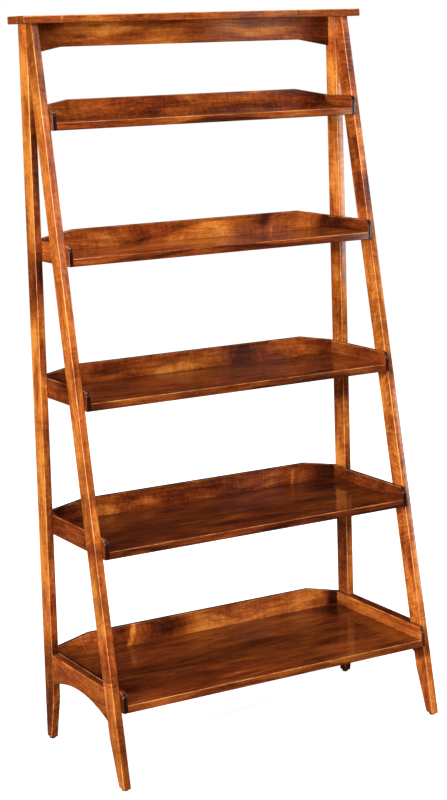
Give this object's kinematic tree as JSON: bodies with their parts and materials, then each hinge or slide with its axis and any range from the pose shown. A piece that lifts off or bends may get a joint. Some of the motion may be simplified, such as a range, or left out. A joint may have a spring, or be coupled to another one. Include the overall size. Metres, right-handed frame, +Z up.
{
  "type": "ladder shelf",
  "caption": "Free-standing ladder shelf in stained wood: leaning front posts, upright back posts, and lipped trays that get deeper towards the floor.",
  "frame": {"origin": "on the floor, under the middle of the shelf's overall width and depth", "axes": "+Z up, +Y towards the wall behind the shelf, +X to the right of someone facing the shelf's front"},
  "size_m": [0.968, 0.4346, 1.829],
  "materials": {
    "frame_wood": "glossy lacquer over blotchy orange-brown stain",
    "rail_wood": "glossy lacquer over reddish-brown stain",
    "shelf_wood": "glossy lacquer over dark brown stain",
    "top_wood": "glossy lacquer over mid-brown stain",
    "dowel_wood": "plain unfinished beech",
    "glide_plastic": "smooth dark brown plastic"
  },
  "bodies": {
    "root": {"top_board": "top_wood", "top_apron": "rail_wood", "left_back_post": "frame_wood", "left_front_post": "frame_wood", "left_front_leg": "frame_wood", "left_lower_rail": "frame_wood", "left_back_glide": "glide_plastic", "left_front_glide": "glide_plastic", "right_back_post": "frame_wood", "right_front_post": "frame_wood", "right_front_leg": "frame_wood", "right_lower_rail": "frame_wood", "right_back_glide": "glide_plastic", "right_front_glide": "glide_plastic", "shelf_1_board": "shelf_wood", "shelf_1_back_rail": "rail_wood", "shelf_1_left_side": "rail_wood", "shelf_1_left_back_dowel": "dowel_wood", "shelf_1_left_front_dowel": "dowel_wood", "shelf_1_right_side": "rail_wood", "shelf_1_right_back_dowel": "dowel_wood", "shelf_1_right_front_dowel": "dowel_wood", "shelf_2_board": "shelf_wood", "shelf_2_back_rail": "rail_wood", "shelf_2_left_side": "rail_wood", "shelf_2_left_back_dowel": "dowel_wood", "shelf_2_left_front_dowel": "dowel_wood", "shelf_2_right_side": "rail_wood", "shelf_2_right_back_dowel": "dowel_wood", "shelf_2_right_front_dowel": "dowel_wood", "shelf_3_board": "shelf_wood", "shelf_3_back_rail": "rail_wood", "shelf_3_left_side": "rail_wood", "shelf_3_left_back_dowel": "dowel_wood", "shelf_3_left_front_dowel": "dowel_wood", "shelf_3_right_side": "rail_wood", "shelf_3_right_back_dowel": "dowel_wood", "shelf_3_right_front_dowel": "dowel_wood", "shelf_4_board": "shelf_wood", "shelf_4_back_rail": "rail_wood", "shelf_4_left_side": "rail_wood", "shelf_4_left_back_dowel": "dowel_wood", "shelf_4_left_front_dowel": "dowel_wood", "shelf_4_right_side": "rail_wood", "shelf_4_right_back_dowel": "dowel_wood", "shelf_4_right_front_dowel": "dowel_wood", "shelf_5_board": "shelf_wood", "shelf_5_back_rail": "rail_wood", "shelf_5_left_side": "rail_wood", "shelf_5_left_back_dowel": "dowel_wood", "shelf_5_left_front_dowel": "dowel_wood", "shelf_5_right_side": "rail_wood", "shelf_5_right_back_dowel": "dowel_wood", "shelf_5_right_front_dowel": "dowel_wood", "top_left_back_dowel": "dowel_wood", "top_left_front_dowel": "dowel_wood", "top_right_back_dowel": "dowel_wood", "top_right_front_dowel": "dowel_wood"}
  },
  "joints": []
}
